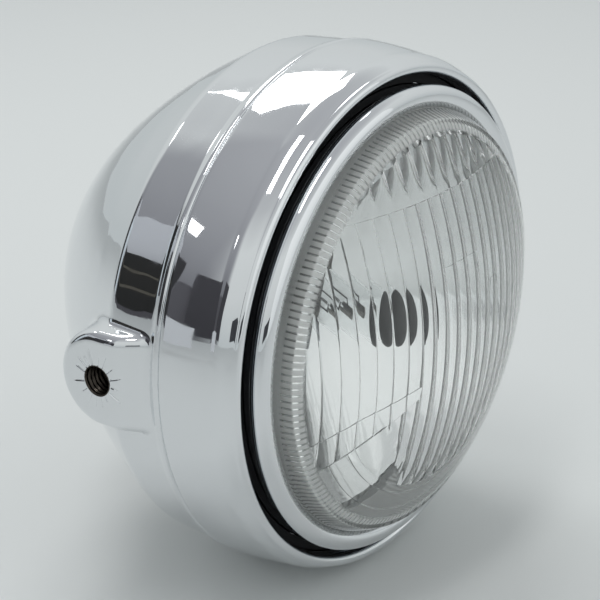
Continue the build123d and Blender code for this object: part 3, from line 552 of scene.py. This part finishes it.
veil = add(tree, "ShaderNodeMath", {"operation": "MULTIPLY"},
           {0: ribbed.outputs["Value"], 1: matt.outputs["Result"]})
clear = add(tree, "ShaderNodeMath", {"operation": "SUBTRACT", 0: 1.0}, {1: veil.outputs["Value"]})
tree.links.new(clear.outputs["Value"], shader.inputs["Transmission Weight"])


def back_of_glass(radius):
    """Place along the axis of the plain back of the dome."""
    return sphere_y - np.sqrt(back_sphere ** 2 - radius ** 2)


# Relief of the back: flutes with sharp cusps, shallow ones left of the side cusp, wider ones in the crown.
FLUTE_PITCH, FLUTE_PHASE, FLUTE_DEPTH, SHALLOW_DEPTH = 6.05, -18.5, 0.5, 0.2
SIDE_CUSP, SIDE_FADE, CUSP_RISE, CUSP_WIDTH = -18.5, 2, 0.09, 0.22
CROWN_PITCH, CROWN_PHASE, CROWN_LINE = 6.5, -2.0, 44.5
CROWN_DELAY, CROWN_RISE, CROWN_SHALLOW, CROWN_DEEPEN, CROWN_LEDGE = 2, 9, 0.12, 1.0, 0.25
# Small prisms below two level lines: the columns where they start and end, and their lower edge.
UPPER_STEP, UPPER_PRISM, LOWER_STEP, LOWER_PRISM = 24.0, (-7, 11, 16), 13.0, (18, 23, 7)
PRISM_RISE, PRISM_EDGE = 0.3, 0.6
# The strip for the dipped beam lies between two bent lines, given by their points (x, z).
LOWER_LINE = ((-57.9, -17.6), (-40.7, -12.6), (-18.2, -9.3))
FOOT_LINE = ((-54.2, -27.3), (-32.9, -18.5), (-18.2, -12.4))
STRIP_STEP, STRIP_DEEPEN, FOOT_SLOPE, FOOT_FADE = 0.4, 0.4, 1.625, 3
INNER_RING, MIDDLE_RING, OUTER_RING, INNER_RING_STEP, RING_STEP = 48.0, 50.5, 56.5, 0.2, 0.35


def scallop(x, pitch, phase):
    """1 in the middle of a flute, 0 on the cusps."""
    across = ((x - phase) / pitch) % 1 - 0.5
    return 1 - 4 * across ** 2


def cusp(x, pitch, phase):
    """1 on the sharp line between two flutes, 0 a little way off it."""
    off = ((x - phase) / pitch + 0.5) % 1 - 0.5
    return np.exp(-(off * pitch / CUSP_WIDTH) ** 2)


def lower_line(x):
    """Height of the strip's upper edge."""
    return np.interp(x, *zip(*LOWER_LINE))


def foot_line(x):
    """Height of the strip's lower edge."""
    return np.interp(x, *zip(*FOOT_LINE))


def crown_field(x, z):
    """Flutes that deepen upwards from a ledge on the crown's level line."""
    rise = np.clip((z - CROWN_LINE - CROWN_DELAY) / CROWN_RISE, 0, 1)
    flutes = -(CROWN_SHALLOW + CROWN_DEEPEN * rise) * scallop(x, CROWN_PITCH, CROWN_PHASE)
    ledge = CROWN_LEDGE * np.clip(1 - (z - CROWN_LINE) / CROWN_RISE, 0, 1)
    return flutes + ledge + CUSP_RISE * rise * cusp(x, CROWN_PITCH, CROWN_PHASE)


def main_field(x, z):
    """Plain upright flutes, the same at every height."""
    depth = np.where(x < SIDE_CUSP, SHALLOW_DEPTH, FLUTE_DEPTH)
    return CUSP_RISE * cusp(x, FLUTE_PITCH, FLUTE_PHASE) - depth * scallop(x, FLUTE_PITCH, FLUTE_PHASE)


def stepped(start, end, low, high):
    """The main flutes with a small prism between two columns that ends in a step at the top."""
    def field(x, z):
        inside = np.clip((x - start) / PRISM_EDGE, 0, 1) * np.clip((end - x) / PRISM_EDGE, 0, 1)
        return main_field(x, z) + PRISM_RISE * inside * np.clip((z - low) / (high - low), 0, 1)
    return field


def strip_field(x, z):
    """The main flutes, on the left deeper and on a slope that ends in a step at the strip's upper edge."""
    left = np.clip((SIDE_CUSP - x) / SIDE_FADE, 0, 1)
    down = (lower_line(x) - z) / (lower_line(x) - foot_line(x))
    return main_field(x, z) * (1 + STRIP_DEEPEN * left) + left * STRIP_STEP * (1 - down)


def foot_field(x, z):
    """Flutes below the strip, with a plain panel on the left beyond a slanting edge."""
    bend_x, bend_z = FOOT_LINE[1]
    edge = bend_z - FOOT_SLOPE * (x - bend_x)
    fluted = np.where(x < SIDE_CUSP, np.clip((z - edge) / FOOT_FADE, 0, 1), 1)
    ends = np.clip((INNER_RING - np.hypot(x, z)) / FIELD_FADE, 0, 1)
    plain = np.clip((SIDE_CUSP - x) / SIDE_FADE, 0, 1) * (1 - fluted)
    return plain * STRIP_STEP - FLUTE_DEPTH * scallop(x, FLUTE_PITCH, FLUTE_PHASE) * fluted * ends


def foot_ring(inner_radius, outer_radius, step):
    """A plain ring at the foot that slopes from its outer edge to a step at its inner one."""
    def field(x, z):
        return step * np.clip((outer_radius - np.hypot(x, z)) / (outer_radius - inner_radius), 0, 1)
    return field


# Columns of the grid: one for each point of the ribbed wall, and finer ones beside the cusps.
FLUTES_LEFT, FLUTE_END, CROWN_END = 6, 58, 44
CUSP_SPREAD, CUSP_COLUMNS, CLEAR_OF_RIB, SAME_COLUMN = 1.8, 7, 0.03, 0.004
half_turn = RIB_COUNT * RIB_SAMPLES // 2
rib_columns = -FIELD_RADIUS * np.cos(np.pi * np.arange(half_turn + 1) / half_turn)
cusp_lines = np.concatenate([np.arange(FLUTE_PHASE - FLUTES_LEFT * FLUTE_PITCH, FLUTE_END, FLUTE_PITCH),
                             np.arange(CROWN_PHASE - FLUTES_LEFT * CROWN_PITCH, CROWN_END, CROWN_PITCH)])
spread = CUSP_WIDTH * np.linspace(-CUSP_SPREAD, CUSP_SPREAD, CUSP_COLUMNS)
fine = np.sort((cusp_lines[:, None] + spread).ravel())
fine = [x for x in fine if np.min(np.abs(rib_columns - x)) > CLEAR_OF_RIB]
columns = np.sort(np.concatenate([rib_columns, fine]))
columns = columns[np.concatenate([[True], np.diff(columns) > SAME_COLUMN])]


def arc_below(radius):
    """Height of a ring about the lamp's axis below the foot line, column by column."""
    arc = -np.sqrt(np.maximum(radius ** 2 - columns ** 2, 0))
    return np.minimum(arc, foot_line(columns))


# Fields from the foot to the crown: the line where each one ends, its relief and its rows.
edge = np.sqrt(np.maximum(FIELD_RADIUS ** 2 - columns ** 2, 0))
fields = [
    (arc_below(OUTER_RING), foot_ring(OUTER_RING, FIELD_RADIUS, RING_STEP), 4),
    (arc_below(MIDDLE_RING), foot_ring(MIDDLE_RING, OUTER_RING, RING_STEP), 5),
    (arc_below(INNER_RING), foot_ring(INNER_RING, MIDDLE_RING, INNER_RING_STEP), 3),
    (foot_line(columns), foot_field, 14),
    (lower_line(columns), strip_field, 4),
    (LOWER_STEP, stepped(*LOWER_PRISM, LOWER_STEP), 14),
    (UPPER_STEP, stepped(*UPPER_PRISM, UPPER_STEP), 8),
    (CROWN_LINE, main_field, 14),
    (edge, crown_field, 14)]
WITHIN = 1e-6
glass_rows = []
low = -edge
for line, field, row_count in fields:
    high = np.clip(line, -edge, edge)
    for t in np.linspace(0, 1, row_count + 1):
        z = low + (high - low) * t
        radius = np.hypot(columns, z)
        settle = np.clip((FIELD_RADIUS - radius) / FIELD_FADE, 0, 1)
        y = back_of_glass(radius) + settle * field(columns, np.clip(z, low + WITHIN, high - WITHIN))
        glass_rows.append(np.stack([columns, y, z], axis=1))
    low = high
fluted_back = skin(glass_rows)

# Bore of the side wall: plain at its foot, then ribbed, with ribs that fade out at the fluted back.
RIB_FOOT_ROWS, RIB_TOP_FADE, BORE_CORNER, BORE_ROUND = (0, 0.3, 0.7), 0.3, 0.2, 0.8
above = np.arccos(np.clip(columns[::-1] / FIELD_RADIUS, -1, 1))
ring = np.concatenate([above, 2 * np.pi - above[-2:0:-1]])
rib = scallop(ring * RIB_COUNT / (2 * np.pi), 1.0, 0.0)
bore_path = rounded([(LENS_BORE, LENS_BACK), (LENS_BORE, back_of_glass(LENS_BORE) + BORE_CORNER, BORE_ROUND),
                     (FIELD_RADIUS, back_of_glass(FIELD_RADIUS))])[:-1]
rib_foot = [(LENS_BORE, RIB_FOOT - drop) for drop in RIB_FOOT_ROWS]
rib_top = [(r, back_of_glass(r)) for r in (FIELD_RADIUS + RIB_TOP_FADE, FIELD_RADIUS)]
rib_rows = []
for r, y in bore_path[:1] + rib_foot + bore_path[1:] + rib_top:
    ahead_of_foot = np.clip((RIB_FOOT - y) / RIB_FOOT_ROWS[-1], 0, 1)
    strength = ahead_of_foot * np.clip((r - FIELD_RADIUS) / RIB_TOP_FADE, 0, 1)
    radius = r + RIB_DEPTH * rib * strength
    rib_rows.append(np.stack([radius * np.cos(ring), np.full_like(ring, y), radius * np.sin(ring)], axis=1))
ribbed_wall = skin(rib_rows, around=True)

LENS_DOME_SHARE, LENS_DOME_POINTS, LENS_STEPS = 0.985, 36, 288
dome_end = math.asin(WALL_TOP_RADIUS / lens_sphere)
lens_dome = [(lens_sphere * math.sin(a), sphere_y - lens_sphere * math.cos(a))
             for a in np.linspace(0, dome_end * LENS_DOME_SHARE, LENS_DOME_POINTS)]
lens_side = rounded([
    lens_dome[-1], (WALL_TOP_RADIUS, WALL_TOP_Y, WALL_TOP_ROUND),
    (LENS_NECK_RADIUS, WALL_FOOT_Y, WALL_FOOT_ROUND), (LENS_NECK_RADIUS, LENS_FOOT_Y),
    (LENS_FOOT_RADIUS, LENS_FOOT_Y), (LENS_FOOT_RADIUS, LENS_BACK), (LENS_BORE, LENS_BACK)])[1:]
lens_outside = turned(lens_dome + lens_side, LENS_STEPS, close=False)
lens_skins = [lens_outside, ribbed_wall, fluted_back]
lens = piece("lens_glass", lens_skins, lamp_glass, sharp=15, weighted=False)
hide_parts("lens")

# Sealant: the bead that beds the lens on the reflector's flange, and the film of it that is squeezed
# round the foot of the glass and up beside its neck.
# Cured grey sealant: pale grey with a dull sheen, slightly lumpy over about 0.9 mm.
FILM_INSIDE, FILM_OUTSIDE, FOOT_INSIDE, FOOT_OUTSIDE = 67.14, 67.34, 71.84, 72.06
FILM_FRONT, FILM_BACK, FILM_END = -42.24, -42.04, -38.02
FILM_TIP, FILM_TIP_ROUND, FILM_SHOULDER = -48.5, 0.08, -48.1
sealant, tree, shader = new_finish("cured_grey_sealant", {
    "Base Color": linear("#CDCFCE"), "Roughness": 0.5, "IOR": 1.45})
place = add(tree, "ShaderNodeTexCoord").outputs["Object"]
lumps = add(tree, "ShaderNodeTexNoise", {"Scale": 1 / (0.9 * MM), "Detail": 2.0}, {"Vector": place})
grit = add(tree, "ShaderNodeValToRGB", {}, {"Fac": lumps.outputs["Fac"]})
grit.color_ramp.elements[0].color = linear("#B2B4B3")
grit.color_ramp.elements[1].color = linear("#E4E6E5")
tree.links.new(grit.outputs["Color"], shader.inputs["Base Color"])
rough = add(tree, "ShaderNodeBump", {"Strength": 0.3, "Distance": 0.3 * MM}, {"Height": lumps.outputs["Fac"]})
tree.links.new(rough.outputs["Normal"], shader.inputs["Normal"])
dress(sealant, "lens_sealant")
squeezed = rounded([
    (FILM_OUTSIDE, FILM_FRONT), (FOOT_OUTSIDE, FILM_FRONT), (FOOT_OUTSIDE, FILM_END),
    (FOOT_INSIDE, FILM_END), (FOOT_INSIDE, FILM_BACK), (FILM_INSIDE, FILM_BACK),
    (FILM_INSIDE, FILM_TIP, FILM_TIP_ROUND), (FILM_OUTSIDE, FILM_SHOULDER)])
piece("squeezed_sealant", [turned(squeezed)], sealant)

# Insert rim: pressed from thin brass sheet and chromed. Its front is rolled into a half-round bead
# that holds the lens, the inner edge is turned back along the glass, and a flat flange takes the seal.
BEAD_CENTRE, BEAD_SECTION, RIM_WALL = (70.5, -46.45), 3.5, 0.9
HEM_RADIUS, HEM_FRONT, HEM_BACK = 67.4, -46.9, -42.3
RIM_RADIUS, RIM_PLANE = 73.0, -44.0
RIM_FLANGE_RADIUS, RIM_FLANGE_FRONT, RIM_FLANGE_BACK = 79.2, -36.5, -35.6
# Angles round the bead's section in degrees, 0 facing outwards and -90 forwards.
FACE_START, FACE_END, INSIDE_END, FACE_POINTS, INSIDE_POINTS = -152.4, 44.4, -150.0, 48, 24


def round_bead(section, start, end, steps):
    """Points round the bead's section between two angles."""
    radius, y = BEAD_CENTRE
    return [(radius + section * math.cos(math.radians(a)), y + section * math.sin(math.radians(a)))
            for a in np.linspace(start, end, steps)]


rim_face = round_bead(BEAD_SECTION, FACE_START, FACE_END, FACE_POINTS)
rim_inside = round_bead(BEAD_SECTION - RIM_WALL, FACE_END, INSIDE_END, INSIDE_POINTS)
rim_back = [
    (RIM_RADIUS, RIM_FLANGE_FRONT), (RIM_FLANGE_RADIUS, RIM_FLANGE_FRONT),
    (RIM_FLANGE_RADIUS, RIM_FLANGE_BACK), (RIM_RADIUS - RIM_WALL, RIM_FLANGE_BACK),
    (RIM_RADIUS - RIM_WALL, RIM_PLANE)]
rim_hem = [(HEM_RADIUS + RIM_WALL, HEM_FRONT), (HEM_RADIUS + RIM_WALL, HEM_BACK), (HEM_RADIUS, HEM_BACK)]
rim = turned(rim_face + rim_back + rim_inside + rim_hem, CHROME_STEPS)
insert_rim = piece("insert_rim_face", [rim], chrome)
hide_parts("insert_rim")

# Rim seal: a moulded ring of black rubber, held by the trim ring's lip. It closes the gap between
# the insert and the trim ring from behind.
dress(rubber, "rim_seal")

# Trim ring: drawn from sheet and chromed. Its front edge is rolled into a narrow bead with a
# crease behind it, and a return lip runs back inside the gap to hold the seal.
LIP_RADIUS, LIP_END, RING_WALL, CREASE_RADIUS, CREASE_WALL = 76.4, -38.0, 1.0, 80.3, 0.5
BEAD_RADIUS, BEAD_Y, BEAD_POINTS = 76.9, -43.6, 24
CURL, CURL_MIDDLE_RADIUS, CURL_MIDDLE, CURL_POINTS = 1.6, 76.77, 0.84, 8
CORNER_RADIUS, CORNER_Y, CORNER_MIDDLE, CORNER_POINTS = 82.3, -37.0, (81.78, -40.45), 16
BAND_BULGE, BAND_POINTS = 0.3, 30
SCREW_Y, SCREW_HOLE, SCREW_DRILL = -24.7, 3.7, (-78, -90)


def arc_through(a, b, c, steps):
    """Points of the circle's arc from a through b to c."""
    ax, ay, bx, by, cx, cy = *a, *b, *c
    a_square, b_square, c_square = ax ** 2 + ay ** 2, bx ** 2 + by ** 2, cx ** 2 + cy ** 2
    d = 2 * (ax * (by - cy) + bx * (cy - ay) + cx * (ay - by))
    ux = (a_square * (by - cy) + b_square * (cy - ay) + c_square * (ay - by)) / d
    uy = (a_square * (cx - bx) + b_square * (ax - cx) + c_square * (bx - ax)) / d
    start, middle, end = (math.atan2(p[1] - uy, p[0] - ux) for p in (a, b, c))
    sweep = (end - start) % (2 * math.pi)
    if (middle - start) % (2 * math.pi) > sweep:
        sweep -= 2 * math.pi
    radius = math.hypot(ax - ux, ay - uy)
    return [(ux + radius * math.cos(start + sweep * t), uy + radius * math.sin(start + sweep * t))
            for t in np.linspace(0, 1, steps)]


bead_start, crease = (BEAD_RADIUS, BEAD_Y), (CREASE_RADIUS, BEAD_Y)
corner, seam = (CORNER_RADIUS, CORNER_Y), (SEAM_RADIUS, SEAM_Y)
bead_front = ((BEAD_RADIUS + CREASE_RADIUS) / 2, BEAD_Y - (CREASE_RADIUS - BEAD_RADIUS) / 2)
band_middle = ((CORNER_RADIUS + SEAM_RADIUS) / 2 + BAND_BULGE, (CORNER_Y + SEAM_Y) / 2)
curl = arc_through((LIP_RADIUS, BEAD_Y + CURL), (CURL_MIDDLE_RADIUS, BEAD_Y + CURL_MIDDLE), bead_start,
                   CURL_POINTS)[:-1]
bead = arc_through(bead_start, bead_front, crease, BEAD_POINTS)[:-1]
ring_corner = arc_through(crease, CORNER_MIDDLE, corner, CORNER_POINTS)[:-1]
ring_band = arc_through(corner, band_middle, seam, BAND_POINTS)[:-2]
ring_seam = rounded([corner, (SEAM_RADIUS, SEAM_Y, SEAM_ROUND), (SEAM_RADIUS - RING_WALL, SEAM_Y)])[1:-1]
ring_inside = [
    (SEAM_RADIUS - RING_WALL, SEAM_Y), (CORNER_RADIUS - RING_WALL, CORNER_Y),
    (CREASE_RADIUS - CREASE_WALL, BEAD_Y + RING_WALL), (BEAD_RADIUS + RING_WALL, BEAD_Y + RING_WALL),
    (LIP_RADIUS + RING_WALL, BEAD_Y + CURL), (LIP_RADIUS + RING_WALL, LIP_END), (LIP_RADIUS, LIP_END)]
band = turned(curl + bead + ring_corner + ring_band + ring_seam + ring_inside, CHROME_STEPS)
screw_hole = [(0, SCREW_Y, z) for z in SCREW_DRILL] + [SCREW_HOLE]
trim_ring = piece("trim_ring_band", [band], chrome, holes=[screw_hole])
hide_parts("trim_ring")

# Ring screw: a small turned steel screw, chromed like the ring. It goes up through the foot of the
# ring into the curved plate inside.
dress(chrome, "ring_screw")

# Studio: a wide floor of pale matt paper under the lamp, and soft panels above it, behind and in front.
# Pale cards and dark flags stand round its left side, mostly behind it, and show only as reflections.
FLOOR_Z, FLOOR_RADIUS, FLOOR_SIDES = -84.2 * MM, 3.0, 96
bpy.ops.mesh.primitive_circle_add(
    vertices=FLOOR_SIDES, radius=FLOOR_RADIUS, fill_type="NGON", location=(0, 0, FLOOR_Z))
floor = bpy.context.object
floor.name = "studio_floor"
floor.data.materials.append(
    new_finish("matt_paper_floor", {"Base Color": linear("#DADDDC"), "Roughness": 0.6})[0])


def soft_lamp(name, place, size, radiance, aim=(0, 0, 0)):
    """A rectangular soft panel of a given brightness, facing the lamp."""
    lamp = bpy.data.lights.new(name, "AREA")
    lamp.shape = "RECTANGLE"
    lamp.size, lamp.size_y = size
    lamp.energy = radiance * math.pi * size[0] * size[1]
    made = bpy.data.objects.new(name, lamp)
    made.location = place
    made.rotation_euler = (Vector(aim) - Vector(place)).to_track_quat("-Z", "Y").to_euler()
    made.visible_camera = False
    bpy.context.scene.collection.objects.link(made)


soft_lamp("overhead_panel", (0.40, 0.46, 0.92), (0.55, 0.36), 5)
soft_lamp("overhead_strip", (-0.30, -0.02, 1.0), (0.16, 0.5), 7)
soft_lamp("left_window", (-0.80, 0.58, 0.70), (0.14, 0.09), 4)
soft_lamp("back_window", (-0.06, 0.86, 0.84), (0.16, 0.10), 3)
soft_lamp("front_wall", (0.2, -1.6, 0.75), (3.2, 1.66), 0.2, (0.2, 0, 0.75))


def card(name, azimuth, distance, width, low, high, colour):
    """An upright studio card seen only in reflections, facing the lamp."""
    side = math.radians(azimuth)
    facing = Vector((math.cos(side), math.sin(side), 0))
    across = Vector((-facing.y, facing.x, 0)) * width / 2
    left, right = facing * distance - across, facing * distance + across
    foot, head = Vector((0, 0, low)), Vector((0, 0, high))
    mesh = bpy.data.meshes.new(name)
    mesh.from_pydata([left + foot, right + foot, right + head, left + head], [], [(0, 1, 2, 3)])
    mesh.materials.append(new_finish(name + "_board", {"Base Color": linear(colour), "Roughness": 0.7})[0])
    made = bpy.data.objects.new(name, mesh)
    bpy.context.scene.collection.objects.link(made)
    made.visible_camera = made.visible_shadow = False


# Each card: its azimuth in degrees, then its distance, width, foot and head in metres.
card("flag_side", 107, 0.80, 0.09, -0.04, 0.34, "#0C0B0C")
card("white_side", 118, 0.80, 0.13, 0.0, 0.33, "#DAE2E8")
card("white_high", 130, 0.82, 0.42, 0.20, 0.46, "#C6C7CD")
card("flag_low", 134, 0.75, 0.20, 0.02, 0.10, "#0D0C0C")
card("flag_rail", 134, 0.75, 0.20, 0.112, 0.172, "#100E0C")
card("flag_high", 134, 0.75, 0.20, 0.182, 0.25, "#0A0909")
card("rail_back", 134, 0.76, 0.20, 0.03, 0.24, "#6E6A60")
card("flag_tall", 146, 0.80, 0.14, 0.03, 0.36, "#2B2A2E")
card("flag_mid", 155, 0.78, 0.10, 0.05, 0.24, "#58565C")
card("flag_end", 164, 0.75, 0.16, 0.02, 0.31, "#37353B")
card("white_block", 156, 0.62, 0.13, -0.04, 0.05, "#D5D6DA")
card("flag_front", 212, 0.90, 0.50, 0.03, 0.16, "#3C3D42")

# Room: pale grey all round, a little paler half way up, and dim behind the row of cards.
DIM_WAY, DIM_START, DIM_FULL = (-0.643, 0.766, 0), 0.78, 0.92
FACTOR, FIRST_COLOUR, SECOND_COLOUR, MIXED_COLOUR = 0, 6, 7, 2
world = bpy.data.worlds.new("dim_room")
bpy.context.scene.world = world
world.use_nodes = True
tree = world.node_tree
way = add(tree, "ShaderNodeTexCoord").outputs["Generated"]
split = add(tree, "ShaderNodeSeparateXYZ", {}, {"Vector": way})
level = add(tree, "ShaderNodeVectorMath", {"operation": "MULTIPLY", 1: (1, 1, 0)}, {0: way})
compass = add(tree, "ShaderNodeVectorMath", {"operation": "NORMALIZE"}, {0: level.outputs["Vector"]})
dim_side = add(tree, "ShaderNodeVectorMath", {"operation": "DOT_PRODUCT", 1: DIM_WAY},
               {0: compass.outputs["Vector"]})
shade = add(tree, "ShaderNodeMapRange",
            {"From Min": DIM_START, "From Max": DIM_FULL, "interpolation_type": "SMOOTHSTEP"},
            {"Value": dim_side.outputs["Value"]})
dim = add(tree, "ShaderNodeValToRGB", {}, {"Fac": split.outputs["Z"]})
pale = add(tree, "ShaderNodeValToRGB", {}, {"Fac": split.outputs["Z"]})
dim_tones = ((0, "#4A4A4E"), (0.12, "#606166"), (0.45, "#8E9095"), (1, "#B4B6BA"))
pale_tones = ((0, "#C4CACB"), (0.3, "#D6DADA"), (0.6, "#DCE0E0"), (0.8, "#C2C5C7"), (1, "#B4B6BA"))
for ramp, tones in ((dim, dim_tones), (pale, pale_tones)):
    ramp.color_ramp.elements[0].color = linear(tones[0][1])
    ramp.color_ramp.elements[1].color = linear(tones[-1][1])
    for spot, code in tones[1:-1]:
        ramp.color_ramp.elements.new(spot).color = linear(code)
room = add(tree, "ShaderNodeMix", {"data_type": "RGBA"}, {
    FACTOR: shade.outputs["Result"], FIRST_COLOUR: pale.outputs["Color"],
    SECOND_COLOUR: dim.outputs["Color"]})
tree.links.new(room.outputs[MIXED_COLOUR], tree.nodes["Background"].inputs["Color"])

# Light goes through the ribbed glass and round the mirror many times before it comes out again.
bpy.context.scene.cycles.max_bounces = bpy.context.scene.cycles.transmission_bounces = 32
bpy.context.scene.cycles.glossy_bounces = 16

# Camera: about 0.6 m off, in front of the lamp on its left and above it, with a long lens.
CAMERA_PLACE, CAMERA_LENS, CAMERA_SENSOR = Vector((-433.5, -325.8, 221.2)), 108.0, 36.0
camera = bpy.data.objects.new("camera", bpy.data.cameras.new("camera"))
camera.data.lens, camera.data.sensor_width = CAMERA_LENS, CAMERA_SENSOR
right = Vector((0.5884, -0.8085, -0.0052)).normalized()
ahead = Vector((0.7453, 0.5449, -0.3841)).normalized()
up = right.cross(ahead).normalized()
camera.matrix_world = Matrix((right, up, -ahead)).transposed().to_4x4()
camera.location = CAMERA_PLACE * MM
bpy.context.scene.collection.objects.link(camera)
bpy.context.scene.camera = camera
bpy.context.scene.view_settings.view_transform = "Standard"
